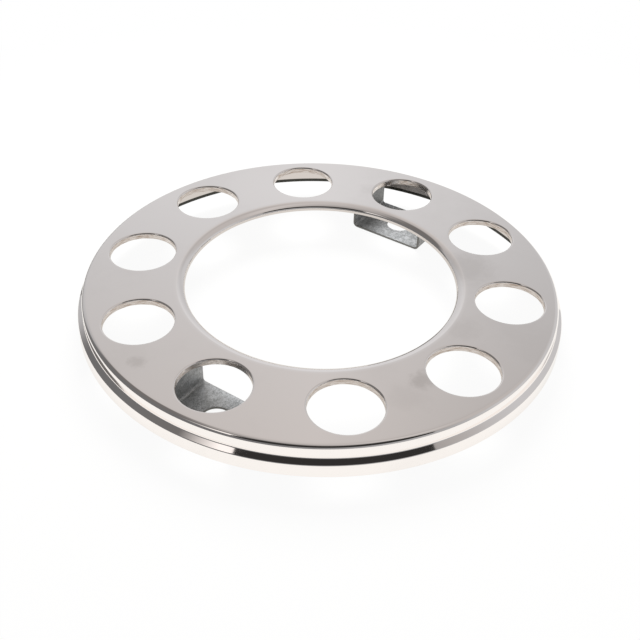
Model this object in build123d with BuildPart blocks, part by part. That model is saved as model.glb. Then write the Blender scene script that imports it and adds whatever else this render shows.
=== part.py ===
import os
from math import cos, isclose, radians, sin

from build123d import *

# Sizes in millimetres. The cover lies face up and stands on its two bracket plates at z = 0.
cover_height = 38.0

# Nut holes with turned-down collars, on the stud circle that sizes the ring
nut_circle_r = 167.5
nut_hole_count = 10
nut_hole_r = 30.0
collar_depth = 5.8
collar_edge_r = 1.5

# Pressed ring, with the land that its face keeps on each side of the nut holes
ring_sheet = 1.0
inner_land = 16.0
outer_land = 12.5
shoulder_r = 4.0
step_drop = 11.3
step_height = 3.4
step_width = 4.6
step_bend_r = 1.5
rim_height = 26.0
rim_flare = 0.4

# Rolled edge round the centre opening
lip_depth = 6.5
roll_angle = 38.0
roll_length = 5.3
roll_top_r = 10.0
roll_lip_r = 3.0

# Folded brackets under two opposite nut holes, clear of the collars
bracket_sheet = 2.0
bracket_length = 57.0
collar_clearance = 5.75
bracket_turn = -5.0
plate_bend_r = 2.5
flange_bend_r = 4.0
flange_land = 10.0
flange_corner_r = 5.0
stud_hole_r = 12.5

os.makedirs("parts", exist_ok=True)

face_z = cover_height
underside_z = face_z - ring_sheet
collar_r = nut_hole_r + ring_sheet
opening_r = nut_circle_r - nut_hole_r - inner_land
wall_r = nut_circle_r + nut_hole_r + outer_land

# Skin line of the pressing, from the lip over the face and down the stepped rim
lip_foot = (opening_r, face_z - lip_depth)
lip_corner = (opening_r, face_z - roll_length * sin(radians(roll_angle)))
roll_corner = (opening_r + roll_length * cos(radians(roll_angle)), face_z)
shoulder_corner = (wall_r, face_z)
step_corner = (wall_r, face_z - step_drop)
rim_corner = (wall_r + step_width, face_z - step_drop - step_height)
rim_foot = (wall_r + step_width + rim_flare, face_z - rim_height)

with BuildPart() as cover_ring:
    with BuildSketch(Plane.XZ):
        with BuildLine() as skin:
            Polyline(
                lip_foot, lip_corner, roll_corner, shoulder_corner, step_corner, rim_corner, rim_foot
            )
            for corner, bend_r in (
                (lip_corner, roll_lip_r),
                (roll_corner, roll_top_r),
                (shoulder_corner, shoulder_r),
                (step_corner, step_bend_r),
                (rim_corner, step_bend_r),
            ):
                fillet(skin.vertices().sort_by_distance(corner)[0], bend_r)
            # the sheet lies on the hidden side of the skin line
            offset(amount=ring_sheet, side=Side.RIGHT)
        make_face()
    revolve(axis=Axis.Z)

    with BuildSketch(Plane.XY.offset(face_z)):
        with PolarLocations(nut_circle_r, nut_hole_count):
            Circle(nut_hole_r)
    extrude(amount=-ring_sheet, mode=Mode.SUBTRACT)

    with BuildSketch(Plane.XY.offset(underside_z)):
        with PolarLocations(nut_circle_r, nut_hole_count):
            Circle(collar_r)
            Circle(nut_hole_r, mode=Mode.SUBTRACT)
    extrude(amount=ring_sheet - collar_depth)

    # the collar's bend: one radius on the face, the same less the sheet underneath
    circles = cover_ring.edges().filter_by(GeomType.CIRCLE)
    face_edges = circles.filter_by(lambda edge: isclose(edge.radius, nut_hole_r)).group_by(Axis.Z)[-1]
    fillet(face_edges, collar_edge_r)
    circles = cover_ring.edges().filter_by(GeomType.CIRCLE)
    under_edges = circles.filter_by(lambda edge: isclose(edge.radius, collar_r)).group_by(Axis.Z)[-1]
    fillet(under_edges, collar_edge_r - ring_sheet)
cover_ring.part.label = "cover_ring"
export_step(cover_ring.part, "parts/cover_ring.step")

# Skin line of a bracket across its length: flange, wall, plate, wall, flange
half_width = collar_r + collar_clearance
flange_end = half_width + flange_bend_r + flange_land

for name, angle in (("bracket_a", 0.0), ("bracket_b", 180.0)):
    stud = (nut_circle_r * cos(radians(angle)), nut_circle_r * sin(radians(angle)))
    along = (cos(radians(angle + bracket_turn)), sin(radians(angle + bracket_turn)))
    across = (-along[1], along[0])
    near_end = (stud[0] - along[0] * bracket_length / 2, stud[1] - along[1] * bracket_length / 2)

    with BuildPart() as bracket:
        with BuildSketch(Plane(origin=(*near_end, 0), x_dir=(*across, 0), z_dir=(*along, 0))):
            with BuildLine() as fold:
                Polyline(
                    (-flange_end, underside_z),
                    (-half_width, underside_z),
                    (-half_width, bracket_sheet),
                    (half_width, bracket_sheet),
                    (half_width, underside_z),
                    (flange_end, underside_z),
                )
                for side in (-half_width, half_width):
                    fillet(fold.vertices().sort_by_distance((side, underside_z))[0], flange_bend_r)
                    fillet(fold.vertices().sort_by_distance((side, bracket_sheet))[0], plate_bend_r)
                offset(amount=bracket_sheet, side=Side.RIGHT)
            make_face()
        extrude(amount=bracket_length)

        with BuildSketch(Plane(origin=(*stud, 0), z_dir=(0, 0, 1))):
            Circle(stud_hole_r)
        extrude(amount=bracket_sheet, mode=Mode.SUBTRACT)

        # the flanges' outer corners are the only upright edges as short as the sheet
        fillet(bracket.edges().filter_by(Axis.Z).group_by(SortBy.LENGTH)[0], flange_corner_r)
    bracket.part.label = name
    export_step(bracket.part, f"parts/{name}.step")
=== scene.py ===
from math import cos, degrees, e, hypot, pi, radians, sin, tan

import bmesh
import bpy
from mathutils import Matrix, Vector


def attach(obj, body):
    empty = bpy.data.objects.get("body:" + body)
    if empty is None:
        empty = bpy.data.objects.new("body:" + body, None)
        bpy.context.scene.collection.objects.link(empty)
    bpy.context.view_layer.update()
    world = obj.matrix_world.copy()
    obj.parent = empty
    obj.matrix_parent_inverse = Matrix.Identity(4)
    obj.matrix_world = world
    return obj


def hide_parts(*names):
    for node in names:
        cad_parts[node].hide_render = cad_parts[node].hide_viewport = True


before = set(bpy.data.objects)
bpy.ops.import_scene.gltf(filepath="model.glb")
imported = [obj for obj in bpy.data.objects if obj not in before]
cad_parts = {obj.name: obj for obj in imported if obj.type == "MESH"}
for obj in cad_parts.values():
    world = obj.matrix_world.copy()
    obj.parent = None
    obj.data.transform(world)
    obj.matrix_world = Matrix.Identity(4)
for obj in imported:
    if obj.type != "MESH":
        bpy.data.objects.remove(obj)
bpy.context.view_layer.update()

mm = 0.001
near = 0.01 * mm                # places closer than this are one place
mergeGap = 0.001 * mm
white = (1, 1, 1, 1)
print("frame loaded:", sorted(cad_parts))


# sums on shader sockets, written as Python

class Wire:
    def __init__(self, graph, socket):
        self.graph = graph
        self.socket = socket

    def __add__(self, other):
        return self.graph.math("ADD", self, other)

    def __radd__(self, other):
        return self.graph.math("ADD", other, self)

    def __sub__(self, other):
        return self.graph.math("SUBTRACT", self, other)

    def __rsub__(self, other):
        return self.graph.math("SUBTRACT", other, self)

    def __mul__(self, other):
        return self.graph.math("MULTIPLY", self, other)

    def __rmul__(self, other):
        return self.graph.math("MULTIPLY", other, self)

    def __truediv__(self, other):
        return self.graph.math("DIVIDE", self, other)

    def __rtruediv__(self, other):
        return self.graph.math("DIVIDE", other, self)

    def __pow__(self, other):
        return self.graph.math("POWER", self, other)

    def __rpow__(self, other):
        return self.graph.math("POWER", other, self)


class Graph:
    def __init__(self, tree):
        self.tree = tree
        tree.nodes.clear()

    def add(self, kind, settings=None, sockets=None, out=0):
        node = self.tree.nodes.new("ShaderNode" + kind)
        for name, value in (settings or {}).items():
            setattr(node, name, value)
        for name, value in (sockets or {}).items():
            if isinstance(value, Wire):
                self.tree.links.new(value.socket, node.inputs[name])
            else:
                node.inputs[name].default_value = value
        return Wire(self, node.outputs[out]) if len(node.outputs) else None

    def math(self, operation, first, second=0.0):
        return self.add("Math", {"operation": operation}, {0: first, 1: second})

    def split(self, vector):
        return [self.add("SeparateXYZ", {}, {"Vector": vector}, out=axis) for axis in range(3)]

    def ramp(self, value, low, high, kind="SMOOTHSTEP"):       # from 0 at low to 1 at high
        return self.add("MapRange", {"interpolation_type": kind},
                        {"Value": value, "From Min": low, "From Max": high})

    def mixColour(self, amount, first, second):                # 6, 7 and 2 are the node's colour sockets
        return self.add("Mix", {"data_type": "RGBA"}, {0: amount, 6: first, 7: second}, out=2)

    def noise(self, place, size, detail, roughness=0.5):       # size in metres
        return self.add("TexNoise", {}, {"Vector": place, "Scale": 1 / size, "Detail": detail,
                                         "Roughness": roughness})


def newMaterial(name):
    material = bpy.data.materials.new(name)
    material.use_nodes = True
    return material, Graph(material.node_tree)


# modelling helpers

def startPiece():
    if bpy.context.object and bpy.context.object.mode != "OBJECT":
        bpy.ops.object.mode_set(mode="OBJECT")
    bpy.ops.object.select_all(action="DESELECT")


def editPiece():
    bpy.ops.object.mode_set(mode="EDIT")
    bpy.ops.mesh.select_mode(type="EDGE")


def pick(kind, test):                   # kind is verts, edges or faces
    bpy.ops.mesh.select_all(action="DESELECT")
    mesh = bmesh.from_edit_mesh(bpy.context.object.data)
    picked = [element for element in getattr(mesh, kind) if test(element)]
    for element in picked:
        element.select = True
    mesh.select_flush_mode()
    bmesh.update_edit_mesh(bpy.context.object.data)
    return len(picked)


def finishPiece(piece, name, material, node):
    piece.name = name
    piece.data.name = name
    piece.data.materials.clear()
    piece.data.materials.append(material)
    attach(piece, "root")
    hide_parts(node)
    print(name, "made,", sum(len(face.vertices) - 2 for face in piece.data.polygons), "triangles")


def applyModifier(piece, kind, **settings):
    modifier = piece.modifiers.new(kind.lower(), kind)
    for name, value in settings.items():
        setattr(modifier, name, value)
    bpy.ops.object.modifier_apply(modifier=modifier.name)


def copyPiece(piece):                   # with a mesh of its own
    copy = piece.copy()
    copy.data = piece.data.copy()
    bpy.context.collection.objects.link(copy)
    return copy


def bendPicked(offset, cuts, affect="EDGES"):
    bpy.ops.mesh.bevel(offset_type="OFFSET", offset=offset, affect=affect, segments=cuts,
                       profile=0.5, clamp_overlap=False)        # 0.5 is a round bend


def closeSkin(piece):                   # fills the picked loops and turns the skin's upper side outwards
    bpy.ops.mesh.fill(use_beauty=True)
    bpy.ops.mesh.select_all(action="SELECT")
    bpy.ops.mesh.remove_doubles(threshold=mergeGap)
    bpy.ops.mesh.normals_make_consistent(inside=False)
    skin = bmesh.from_edit_mesh(piece.data)
    if sum(face.normal.z * face.calc_area() for face in skin.faces) < 0:
        bpy.ops.mesh.flip_normals()
    bpy.ops.object.mode_set(mode="OBJECT")


def thicken(piece, s):                  # puts the sheet under the skin and breaks its cut edges
    applyModifier(piece, "SOLIDIFY", thickness=s["sheet"] * mm, offset=-1, use_even_offset=True)
    applyModifier(piece, "BEVEL", width=s["edgeBreak"] * mm, segments=s["edgeCuts"], limit_method="ANGLE",
                  angle_limit=radians(s["edgeAngle"]))
    bpy.ops.object.shade_smooth()
    applyModifier(piece, "WEIGHTED_NORMAL", mode="FACE_AREA")


# pressed ring: one section lathed round the axis, ten collars set into its flat face

ringSizes = {
    "faceHeight": 38.0,
    "sheet": 1.0,
    "openingRadius": 121.5,
    "lipDepth": 6.5,
    "rollAngle": 38.0,
    "rollLength": 5.3,
    "rollTopBend": 10.0,
    "rollLipBend": 3.0,
    "wallRadius": 210.0,
    "shoulderBend": 4.0,
    "stepDrop": 11.3,
    "stepWidth": 4.6,
    "stepHeight": 3.4,
    "stepBend": 1.5,
    "rimHeight": 26.0,
    "rimFlare": 0.34,           # a hair inside the solid, whose mesh has flat sides
    "nutCircle": 167.5,
    "nutHoles": 10,
    "holeRadius": 30.0,
    "collarDepth": 5.8,
    "collarBend": 1.5,
    "collarLand": 3.0,          # flat round each hole that is lathed with its collar
    "flatEnd": 6.0,             # flat of the face that is lathed with the lip and with the rim
    "edgeBreak": 0.15,          # deburred cut edges
    "edgeAngle": 60,
    "edgeCuts": 2,
    "turns": 360,               # sides of a full turn
    "collarTurns": 96,
    "cutEvery": 9,              # degrees of bend for each cut
    "fewestCuts": 4,
}


def ringSection(s):
    top = s["faceHeight"]
    rollDrop = s["rollLength"] * sin(radians(s["rollAngle"]))
    rollReach = s["rollLength"] * cos(radians(s["rollAngle"]))
    stepRadius = s["wallRadius"] + s["stepWidth"]
    stepFoot = top - s["stepDrop"] - s["stepHeight"]
    inside = s["openingRadius"]
    lip = [                                             # radius, height, bend radius
        (inside, top - s["lipDepth"], 0),
        (inside, top - rollDrop, s["rollLipBend"]),
        (inside + rollReach, top, s["rollTopBend"]),
        (inside + rollReach + s["flatEnd"], top, 0),
    ]
    rim = [
        (s["wallRadius"] - s["flatEnd"], top, 0),
        (s["wallRadius"], top, s["shoulderBend"]),
        (s["wallRadius"], top - s["stepDrop"], s["stepBend"]),
        (stepRadius, stepFoot, s["stepBend"]),
        (stepRadius + s["rimFlare"], top - s["rimHeight"], 0),
    ]
    return lip, rim


def lathe(section, turns):
    startPiece()
    radius, height, _ = section[0]
    bpy.ops.mesh.primitive_circle_add(vertices=turns, radius=radius * mm, fill_type="NOTHING")
    editPiece()
    bpy.ops.mesh.select_all(action="SELECT")
    bpy.ops.transform.translate(value=(0, 0, height * mm))
    for nextRadius, nextHeight, _ in section[1:]:
        bpy.ops.mesh.extrude_edges_indiv()
        grow = nextRadius / radius
        bpy.ops.transform.resize(value=(grow, grow, 1), center_override=(0, 0, height * mm))
        bpy.ops.transform.translate(value=(0, 0, (nextHeight - height) * mm))
        radius, height = nextRadius, nextHeight
    bendCorners(section)
    bpy.ops.object.mode_set(mode="OBJECT")
    return bpy.context.object


def bendCorners(section):
    for before, corner, after in zip(section, section[1:], section[2:]):
        radius, height, bend = corner
        if not bend:
            continue
        into = Vector((radius - before[0], height - before[1])).normalized()
        out = Vector((after[0] - radius, after[1] - height)).normalized()
        turn = into.angle(out)
        cuts = round(degrees(turn) / ringSizes["cutEvery"])
        pick("edges", lambda edge: all(abs(hypot(vert.co.x, vert.co.y) - radius * mm) < near
                                       and abs(vert.co.z - height * mm) < near for vert in edge.verts))
        bendPicked(bend * mm * tan(turn / 2), max(ringSizes["fewestCuts"], cuts))


def makeRing(material):
    s = ringSizes
    lip, rim = ringSection(s)
    top = s["faceHeight"]
    strips = [lathe(lip, s["turns"]), lathe(rim, s["turns"])]
    hole = [
        (s["holeRadius"] + s["collarLand"], top, 0),
        (s["holeRadius"], top, s["collarBend"]),
        (s["holeRadius"], top - s["collarDepth"], 0),
    ]
    collar = lathe(hole, s["collarTurns"])
    for count in range(s["nutHoles"]):
        angle = 2 * pi * count / s["nutHoles"]
        copy = copyPiece(collar)
        copy.location = (s["nutCircle"] * mm * cos(angle), s["nutCircle"] * mm * sin(angle), 0)
        strips.append(copy)
    bpy.data.objects.remove(collar)

    startPiece()
    for strip in strips:
        strip.select_set(True)
    bpy.context.view_layer.objects.active = strips[0]
    bpy.ops.object.transform_apply(location=True)
    bpy.ops.object.join()
    ring = bpy.context.object

    editPiece()                                         # close the flat face between the loops
    rims = pick("edges", lambda edge: edge.is_boundary
                and all(abs(vert.co.z - top * mm) < near for vert in edge.verts))
    print("face filled between", rims, "edges")
    closeSkin(ring)
    thicken(ring, s)
    finishPiece(ring, "coverRing", material, "cover_ring")


# folded brackets: a plate with its stud hole, walls folded up, flanges folded out

bracketSizes = {
    "sheet": 2.0,
    "length": 57.0,
    "halfWidth": 36.75,         # to the inside of the walls
    "height": 37.0,             # to the ring's underside
    "plateBend": 2.5,
    "flangeBend": 4.0,
    "flangeLand": 10.0,
    "flangeCorner": 5.0,
    "studHole": 12.5,
    "studCircle": 167.5,
    "turn": -5.0,               # degrees about the stud
    "edgeBreak": 0.25,
    "edgeAngle": 50,
    "edgeCuts": 3,
    "bendCuts": 10,
    "cornerCuts": 8,
    "holeTurns": 64,
}


def makeBrackets(material):
    s = bracketSizes
    half = s["halfWidth"] * mm
    reach = s["length"] / 2 * mm
    top = s["height"] * mm
    plateTop = s["sheet"] * mm
    flangeEnd = half + (s["flangeBend"] + s["flangeLand"]) * mm

    # one flange, then its inner edge drawn on down, across, up and out
    startPiece()
    bpy.ops.mesh.primitive_plane_add(size=2)
    bracket = bpy.context.object
    editPiece()
    bpy.ops.mesh.select_all(action="SELECT")
    bpy.ops.transform.resize(value=(reach, (flangeEnd - half) / 2, 1), center_override=(0, 0, 0))
    bpy.ops.transform.translate(value=(0, -(flangeEnd + half) / 2, top))
    pick("edges", lambda edge: all(abs(vert.co.y + half) < near for vert in edge.verts))
    down = (0, 0, plateTop - top)
    up = (0, 0, top - plateTop)
    for move in (down, (0, 2 * half, 0), up, (0, flangeEnd - half, 0)):
        bpy.ops.mesh.extrude_edges_indiv()
        bpy.ops.transform.translate(value=move)
    for height, bend in ((plateTop, s["plateBend"]), (top, s["flangeBend"])):
        pick("edges", lambda edge: all(abs(abs(vert.co.y) - half) < near and abs(vert.co.z - height) < near
                                       for vert in edge.verts))
        bendPicked(bend * mm, s["bendCuts"])
    bpy.ops.mesh.select_mode(type="VERT")
    pick("verts", lambda vert: abs(abs(vert.co.y) - flangeEnd) < near)
    bendPicked(s["flangeCorner"] * mm, s["cornerCuts"], "VERTICES")

    # the plate is opened and filled again round the stud hole's loop
    bpy.ops.mesh.select_mode(type="FACE")
    pick("faces", lambda face: all(abs(vert.co.z - plateTop) < near for vert in face.verts))
    bpy.ops.mesh.delete(type="ONLY_FACE")
    bpy.ops.mesh.select_mode(type="EDGE")
    bpy.ops.mesh.primitive_circle_add(vertices=s["holeTurns"], radius=s["studHole"] * mm,
                                      fill_type="NOTHING", location=(0, 0, plateTop))
    pick("edges", lambda edge: all(abs(vert.co.z - plateTop) < near for vert in edge.verts))
    closeSkin(bracket)
    thicken(bracket, s)

    stud = s["studCircle"] * mm
    twin = copyPiece(bracket)
    for piece, name, node, angle in ((bracket, "bracketBack", "bracket_a", 0.0),
                                     (twin, "bracketFront", "bracket_b", 180.0)):
        startPiece()
        piece.select_set(True)
        bpy.context.view_layer.objects.active = piece
        piece.location = (stud * cos(radians(angle)), stud * sin(radians(angle)), 0)
        piece.rotation_euler.z = radians(angle + s["turn"])
        bpy.ops.object.transform_apply(location=True, rotation=True)
        finishPiece(piece, name, material, node)


# finishes

polishLook = {                  # lengths in mm, and each range goes from none to full
    "colour": (0.95, 0.90, 0.87, 1),
    "smudgeAndShadeColour": (0.72, 0.675, 0.645, 1),
    "gloss": 0.045,             # roughness of the clean polish
    "haze": 0.06,               # more of it where the polish is dull
    "cloud": 60.0,              # dull clouds and their grain
    "grain": 5.0,
    "cloudShares": (0.8, 0.2),
    "cloudRange": (0.48, 0.68),
    "cloudAmount": 0.12,
    "grainRough": 0.01,
    "wave": 90.0,               # slow waves in the sheet
    "waveBump": 0.05,
    "waveDepth": 2.0,
    "shadeStripColour": (0.075, 0.075, 0.068, 1),    # dull strip inside the rim, its dark colour a painted reflection of shade
    "stripHeight": (15.8, 15.2),            # down towards the rim's edge
    "stripOuter": (214.6, 214.2),           # not on the rim's outside
    "stripInner": (205.0, 207.0),
    "stripRough": 0.2,
    "collarShadeColour": (0.52, 0.42, 0.35, 1),  # draw marks round the collars' walls, their brown a painted reflection of shade
    "collarReach": (1.8, 1.2),              # out from the hole
    "collarDrop": (0.5, 1.5),               # down from the face
    "collarStreak": 7.0,
    "collarStretch": 12.0,
    "collarRange": (0.40, 0.66),
    "collarRough": 0.1,
    "collarBump": 0.5,
    "collarDepth": 0.3,
    "markEdge": (1.15, 0.25),   # how a hand mark fades out, in shares of its size
    "markRagged": 1.2,
    "handMarksAndShade": [              # place on the face and size, then how strong
        (-177, 67, 9, 0.5),
        (-80, -136, 12, 0.75),
        (-102, -134, 20, 0.2),
        (81, -106, 30, 0.5),
        (-5, -139, 18, 0.22),
        # painted shade at the edge of the hole over the back bracket
        (159, 32, 13, 0.2),
    ],
}


def polishedSteel():
    look = polishLook
    s = ringSizes
    material, g = newMaterial("polishedSteel")
    place = g.add("TexCoord", out="Object")
    across, along, height = g.split(place)
    radius = (across * across + along * along) ** 0.5
    below = s["faceHeight"] * mm - height

    # hand marks, one painted shade at a hole's edge, and dull clouds
    marksAndShade = 0
    for x, y, size, amount in look["handMarksAndShade"]:
        middle = (x * mm, y * mm, s["faceHeight"] * mm)
        away = g.add("VectorMath", {"operation": "DISTANCE"}, {0: place, 1: middle}, out="Value")
        ragged = look["markRagged"] * (g.noise(place, size / 2 * mm, detail=4.0, roughness=0.6) - 0.5)
        marksAndShade = marksAndShade + amount * g.ramp(away / (size * mm) + ragged, *look["markEdge"])
    grain = g.noise(place, look["grain"] * mm, detail=4.0, roughness=0.6)
    cloudShare, grainShare = look["cloudShares"]
    cloud = cloudShare * g.noise(place, look["cloud"] * mm, detail=3.0) + grainShare * grain
    dullAndShade = marksAndShade + look["cloudAmount"] * g.ramp(cloud, *look["cloudRange"])
    colour = g.mixColour(dullAndShade, look["colour"], look["smudgeAndShadeColour"])

    # dark strip low inside the rim: painted reflection of shade
    strip = g.ramp(height / mm, *look["stripHeight"])
    strip = strip * g.ramp(radius / mm, *look["stripOuter"]) * g.ramp(radius / mm, *look["stripInner"])
    colour = g.mixColour(strip, colour, look["shadeStripColour"])

    # collar walls: the nearest hole is found by turning the place into one hole's sector
    sector = 2 * pi / s["nutHoles"]
    angle = g.math("ARCTAN2", along, across)
    offAngle = angle - sector * g.math("ROUND", angle / sector)
    holeOut = radius * g.math("COSINE", offAngle) - s["nutCircle"] * mm
    holeSide = radius * g.math("SINE", offAngle)
    fromHole = (holeOut * holeOut + holeSide * holeSide) ** 0.5 - s["holeRadius"] * mm
    collar = g.ramp(fromHole / mm, *look["collarReach"]) * g.ramp(below / mm, *look["collarDrop"])
    drawn = g.add("CombineXYZ", {}, {"X": across, "Y": along, "Z": height * look["collarStretch"]})
    streaks = g.noise(drawn, look["collarStreak"] * mm, detail=3.0, roughness=0.6)
    # brown streaks on the collars' walls: painted reflection of shade
    colour = g.mixColour(collar * g.ramp(streaks, *look["collarRange"]), colour, look["collarShadeColour"])

    rough = look["gloss"] + look["haze"] * dullAndShade + look["grainRough"] * grain
    rough = rough + look["stripRough"] * strip + look["collarRough"] * collar
    wave = g.noise(place, look["wave"] * mm, detail=1.0)
    waves = g.add("Bump", {}, {"Strength": look["waveBump"], "Distance": look["waveDepth"] * mm,
                               "Height": wave})
    bump = g.add("Bump", {}, {"Strength": look["collarBump"], "Distance": look["collarDepth"] * mm,
                              "Height": collar * streaks, "Normal": waves})
    shader = g.add("BsdfPrincipled", {}, {"Base Color": colour, "Metallic": 1.0, "Roughness": rough,
                                          "Normal": bump})
    g.add("OutputMaterial", {}, {"Surface": shader})
    return material


zincLook = {                    # lengths in mm, and each range goes from none to full
    "dark": (0.34, 0.355, 0.36, 1),
    "light": (0.82, 0.84, 0.86, 1),
    "crystal": 2.0,
    "cloud": 10.0,
    "grain": 0.9,
    "crystalBlur": 0.6,
    "toneShares": (0.14, 0.22, 0.64),       # of crystals, clouds and grain
    "toneRange": (0.34, 0.66),
    "foldShade": (0.20, 0.20, 0.195, 1),        # painted shade, darkest in the folds
    "foldShadeReach": (18.0, 1.0),
    "foldShadeShift": 6.0,          # how far its edge wanders
    "foldShadeAmount": 0.4,
    "wallShade": (0.2, 0.75),   # painted shade on the walls, at their inner and outer ends
    "wallFoot": (1.0, 4.0),
    "edgeReflectionColour": (0.28, 0.28, 0.27, 1),
    "cutWidth": (0.6, 0.1),     # painted reflection of shade: dark line along the sheared ends and round the stud hole
    "rough": 0.38,
    "crystalRough": 0.12,
    "cutRough": 0.1,
    "metal": 0.5,
    "bump": 0.25,
    "bumpDepth": 0.2,
    "bumpShares": (0.3, 0.7),   # of crystals and grain
}


def galvanisedSteel():
    look = zincLook
    s = bracketSizes
    material, g = newMaterial("galvanisedSteel")
    place = g.add("TexCoord", out="Object")
    across, along, height = g.split(place)
    crystals = g.add("TexVoronoi", {"feature": "SMOOTH_F1"},
                     {"Vector": place, "Scale": 1 / (look["crystal"] * mm),
                      "Smoothness": look["crystalBlur"]}, out="Color")
    crystal = g.add("SeparateColor", {}, {"Color": crystals}, out="Red")
    cloud = g.noise(place, look["cloud"] * mm, detail=3.0, roughness=0.6)
    grain = g.noise(place, look["grain"] * mm, detail=3.0, roughness=0.6)
    crystalShare, cloudShare, grainShare = look["toneShares"]
    tone = crystalShare * crystal + cloudShare * cloud + grainShare * grain
    colour = g.mixColour(g.ramp(tone, *look["toneRange"]), look["dark"], look["light"])

    # half a turn about the axis brings one bracket onto the other, so one set of sums serves both
    turn = radians(s["turn"])
    stud = s["studCircle"] * mm
    reach = s["length"] / 2 * mm
    outwards = across * cos(turn) + along * sin(turn)
    fromAxis = g.math("ABSOLUTE", outwards)
    toEnd = reach - g.math("ABSOLUTE", fromAxis - stud * cos(turn))
    sideways = g.math("SIGN", outwards) * (along * cos(turn) - across * sin(turn)) + stud * sin(turn)
    foldSide = s["halfWidth"] * mm - g.math("ABSOLUTE", sideways)
    # painted shade near the folds and up the walls
    foldUp = height - s["sheet"] * mm
    toFold = (foldSide * foldSide + foldUp * foldUp) ** 0.5 + look["foldShadeShift"] * mm * (cloud - 0.5)
    foldShade = look["foldShadeAmount"] * g.ramp(toFold / mm, *look["foldShadeReach"], "LINEAR")
    inner, outer = look["wallShade"]
    wall = inner + (outer - inner) * g.ramp(fromAxis, stud - reach, stud + reach)
    wall = wall * g.ramp(foldUp / mm, *look["wallFoot"])
    colour = g.mixColour(g.math("MAXIMUM", foldShade, wall), colour, look["foldShade"])
    # dark line at the sheared ends and round the stud hole: painted reflection of shade
    studAcross = g.math("ABSOLUTE", across) - stud
    toHole = (studAcross * studAcross + along * along) ** 0.5 - s["studHole"] * mm
    cut = g.ramp(g.math("MINIMUM", toEnd, toHole) / mm, *look["cutWidth"])
    colour = g.mixColour(cut, colour, look["edgeReflectionColour"])

    rough = look["rough"] + look["crystalRough"] * crystal + look["cutRough"] * cut
    crystalShare, grainShare = look["bumpShares"]
    bump = g.add("Bump", {}, {"Strength": look["bump"], "Distance": look["bumpDepth"] * mm,
                              "Height": crystalShare * crystal + grainShare * grain})
    shader = g.add("BsdfPrincipled", {}, {"Base Color": colour, "Metallic": look["metal"],
                                          "Roughness": rough, "Normal": bump})
    g.add("OutputMaterial", {}, {"Surface": shader})
    return material


# studio: camera, pale floor, soft surround

photoView = {
    "azimuth": -61.477,         # degrees, 0 looks along +Y
    "elevation": 38.421,
    "roll": 1.715,
    "distance": 816.751,        # to the middle of the face, along the view
    "aside": 0.975,             # where the middle of the face sits in the view
    "above": 39.470,
    "focal": 912.457,           # in pixels, for a picture of this width
    "width": 640,
    "sensor": 36.0,
}


def setCamera():
    v = photoView
    lens = bpy.data.cameras.new("photoCamera")
    lens.sensor_width = v["sensor"]
    lens.lens = v["focal"] * lens.sensor_width / v["width"]
    camera = bpy.data.objects.new("photoCamera", lens)
    bpy.context.collection.objects.link(camera)
    turn = (Matrix.Rotation(radians(v["azimuth"]), 3, "Z")
            @ Matrix.Rotation(radians(90 - v["elevation"]), 3, "X")
            @ Matrix.Rotation(radians(v["roll"]), 3, "Z"))
    face = Vector((0, 0, ringSizes["faceHeight"] * mm))
    seen = Vector((v["aside"], v["above"], -v["distance"])) * mm
    camera.matrix_world = Matrix.Translation(face - turn @ seen) @ turn.to_4x4()
    bpy.context.scene.camera = camera
    print("camera set")


floorLook = {                   # lengths in metres
    "size": 30.0,
    "drop": 0.0003,             # below the bracket plates
    "colour": (0.97, 0.95, 0.92, 1),
    "mirrored": (1.0, 1.0, 0.985, 1),       # as the polish shows it, outside and inside the ring, dimmer inside as painted shadow of the cover
    "mirroredShadowInside": (0.70, 0.68, 0.65, 1),
    "ringEdge": (0.2, 0.23),
    "mirroredLeft": (0.165, 0.165, 0.165, 1),
    "whiteFrom": (-0.335, -0.305),          # the white ends to the left of the ring
    "shadow": 0.06,             # how much of the shadow the camera sees
    "shadowReach": (0.3, 0.75),
}


def makeFloor():
    look = floorLook
    startPiece()
    bpy.ops.mesh.primitive_plane_add(size=look["size"], location=(0, 0, -look["drop"]))
    floor = bpy.context.object
    bpy.ops.object.transform_apply(location=True)
    floor.name = "studioFloor"
    material, g = newMaterial("paleFloor")
    place = g.add("TexCoord", out="Object")
    away = g.add("VectorMath", {"operation": "LENGTH"}, {0: place}, out="Value")
    nearObject = 1 - g.ramp(away, *look["shadowReach"])
    cameraRay = g.add("LightPath", out="Is Camera Ray")
    glossyRay = g.add("LightPath", out="Is Glossy Ray")
    lit = g.add("BsdfDiffuse", {}, {"Color": look["colour"]})
    plain, inside, outside, pastLeft = [
        g.add("Emission", {}, {"Color": colour, "Strength": 1.0})
        for colour in (white, look["mirroredShadowInside"], look["mirrored"], look["mirroredLeft"])]
    across, along, _ = g.split(place)
    bearing = radians(photoView["azimuth"])
    onWhite = g.ramp(across * cos(bearing) + along * sin(bearing), *look["whiteFrom"])
    outside = g.add("MixShader", {}, {0: onWhite, 1: pastLeft, 2: outside})
    # under the cover the floor that the polish sees is dimmer: painted shadow
    mirrored = g.add("MixShader", {}, {0: g.ramp(away, *look["ringEdge"]), 1: inside, 2: outside})
    seen = g.add("MixShader", {}, {0: cameraRay * (1 - look["shadow"] * nearObject), 1: lit, 2: plain})
    surface = g.add("MixShader", {}, {0: glossyRay, 1: seen, 2: mirrored})
    g.add("OutputMaterial", {}, {"Surface": surface})
    floor.data.materials.append(material)
    print("floor made")


lampLook = {                    # lengths in metres
    "distance": 1.6,
    "height": 46.0,             # degrees above the floor, beyond the cover
    "size": 0.9,
    "power": 38.0,
}


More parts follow.
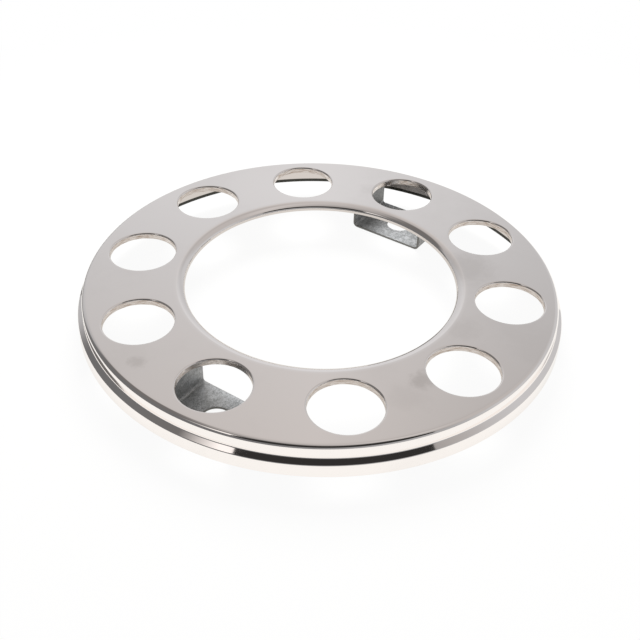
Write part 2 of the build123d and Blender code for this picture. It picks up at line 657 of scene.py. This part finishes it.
def setLamp():
    look = lampLook
    light = bpy.data.lights.new("softbox", "AREA")
    light.shape = "SQUARE"
    light.size = look["size"]
    light.energy = look["power"]
    lamp = bpy.data.objects.new("softbox", light)
    bpy.context.collection.objects.link(lamp)
    level = look["distance"] * cos(radians(look["height"]))
    bearing = radians(photoView["azimuth"])
    height = look["distance"] * sin(radians(look["height"]))
    lamp.location = (-sin(bearing) * level, cos(bearing) * level, height)
    lamp.rotation_euler = lamp.location.to_track_quat("Z", "Y").to_euler()
    lamp.visible_glossy = False             # the polish shows the surround, not the lamp
    print("lamp set")


surroundLook = {                # angles in degrees, bearings from the camera's side, right positive
    "evenLight": 0.33,          # on everything matt
    "ceiling": 0.53,
    "ceilingNear": 0.35,        # it dims towards the camera
    "ceilingFade": (-0.2, 0.2),
    "ceilingTilt": 0.3,         # and is brighter to the right
    "ceilingFrom": (58.0, 74.0),
    "panelGlow": 0.165,         # white panel beyond the cover, brighter low down
    "glowFrom": 33.0,
    "glowFade": 13.0,
    "mostGlow": 0.73,
    "panelEdge": (-122.0, -148.0),          # its left edge leans, low and high
    "panelEdgeHeights": (30.0, 54.0),
    "panelEdgeBlur": 7.0,
    "panelFall": (154.0, 79.0),             # how soon it dims to the left and right
    "leftGrey": 0.165,
    "rightLow": 0.60,           # right panel, dimmer above and beside the card
    "rightHigh": 0.50,
    "rightHeights": (28.0, 44.0),
    "rightNear": 0.72,
    "rightFade": (58.0, 84.0),
    "rightEnd": (28.0, 14.0),               # from straight beyond, where it gives way to the white panel
    "sideBlend": (-40.0, 50.0),             # left grey turns into the right panel under the card
    "flag": 0.03,               # black card on the camera's side
    "flagLeft": (-34.5, -44.7),             # its sides lean, low and high
    "flagRight": (53.5, 62.3),
    "flagLean": (34.0, 50.0),
    "flagBlur": 0.15,
    "flagLow": (29.0, 36.0),
    "flagHigh": (75.0, 67.0),
    "gap": 1.06,                # bright gap left of the card
    "gapFade": (-70.0, -52.0),
    "gapHeights": (38.0, 45.0, 57.0, 61.0),
    "lowTint": (0.985, 0.998, 1.026),
    "highTint": (1.04, 1.0, 0.985),
    "tintHeights": (30.0, 50.0),
}


def setSurround():
    look = surroundLook
    world = bpy.data.worlds.new("softStudio")
    world.use_nodes = True
    bpy.context.scene.world = world
    world.cycles.sampling_method = "NONE"
    g = Graph(world.node_tree)
    ray = g.add("TexCoord", out="Generated")
    turned = g.add("VectorRotate", {"rotation_type": "Z_AXIS"},
                   {"Vector": ray, "Angle": radians(-photoView["azimuth"])})
    side, beyond, up = g.split(turned)
    bearing = g.math("ARCTAN2", side, 0 - beyond) * degrees(1)
    height = g.math("ARCSINE", up) * degrees(1)
    offBack = 180 - g.math("ABSOLUTE", bearing)

    glow = look["ceiling"] + look["panelGlow"] * e ** ((look["glowFrom"] - height) / look["glowFade"])
    glow = g.math("MINIMUM", glow, look["mostGlow"])
    fallLeft, fallRight = look["panelFall"]
    rightHigh = g.ramp(height, *look["rightHeights"])
    rightFar = g.ramp(bearing, *look["rightFade"], "LINEAR")
    right = look["rightLow"] + (look["rightHigh"] - look["rightLow"]) * rightHigh
    right = right * (look["rightNear"] + (1 - look["rightNear"]) * rightFar)
    right = right + (glow * (1 - offBack / fallRight) - right) * g.ramp(offBack, *look["rightEnd"])
    edgeLow, edgeHigh = look["panelEdge"]
    edge = edgeLow + (edgeHigh - edgeLow) * g.ramp(height, *look["panelEdgeHeights"])
    onPanel = g.ramp(bearing - edge, look["panelEdgeBlur"], -look["panelEdgeBlur"])
    left = look["leftGrey"] + (glow * (1 - offBack / fallLeft) - look["leftGrey"]) * onPanel
    onRight = g.ramp(bearing, *look["sideBlend"])
    sky = left + (right - left) * onRight

    overhead = look["ceiling"] + look["ceilingTilt"] * side
    nearCamera = g.ramp(0 - beyond, *look["ceilingFade"], "LINEAR")
    overhead = overhead + (look["ceilingNear"] - look["ceiling"]) * nearCamera
    sky = sky + (overhead - sky) * g.ramp(height, *look["ceilingFrom"])

    low, lowFull, highFull, high = look["gapHeights"]
    gapLevel = g.ramp(height, low, lowFull) * g.ramp(height, high, highFull)
    lean = g.ramp(height, *look["flagLean"], "LINEAR")
    flagLeft, flagRight = [lowSide + (highSide - lowSide) * lean
                           for lowSide, highSide in (look["flagLeft"], look["flagRight"])]
    pastFlag = g.ramp(bearing - flagLeft, -look["flagBlur"], look["flagBlur"])
    gap = g.ramp(bearing, *look["gapFade"], "LINEAR") * (1 - pastFlag) * gapLevel
    sky = sky + (look["gap"] - sky) * gap
    flag = (pastFlag * g.ramp(bearing - flagRight, look["flagBlur"], -look["flagBlur"])
            * g.ramp(height, *look["flagLow"]) * g.ramp(height, *look["flagHigh"]))
    sky = sky + (look["flag"] - sky) * flag

    tint = g.mixColour(g.ramp(height, *look["tintHeights"]), (*look["lowTint"], 1), (*look["highTint"], 1))
    reflected = g.add("VectorMath", {"operation": "SCALE"}, {0: tint, "Scale": sky})
    even = (look["evenLight"], look["evenLight"], look["evenLight"], 1)
    lit = g.mixColour(g.add("LightPath", out="Is Glossy Ray"), even, reflected)
    shown = g.mixColour(g.add("LightPath", out="Is Camera Ray"), lit, white)
    background = g.add("Background", {}, {"Color": shown, "Strength": 1.0})
    g.add("OutputWorld", {}, {"Surface": background})
    print("studio set")


makeRing(polishedSteel())
makeBrackets(galvanisedSteel())
setCamera()
makeFloor()
setLamp()
setSurround()
bpy.context.scene.view_settings.view_transform = "Standard"
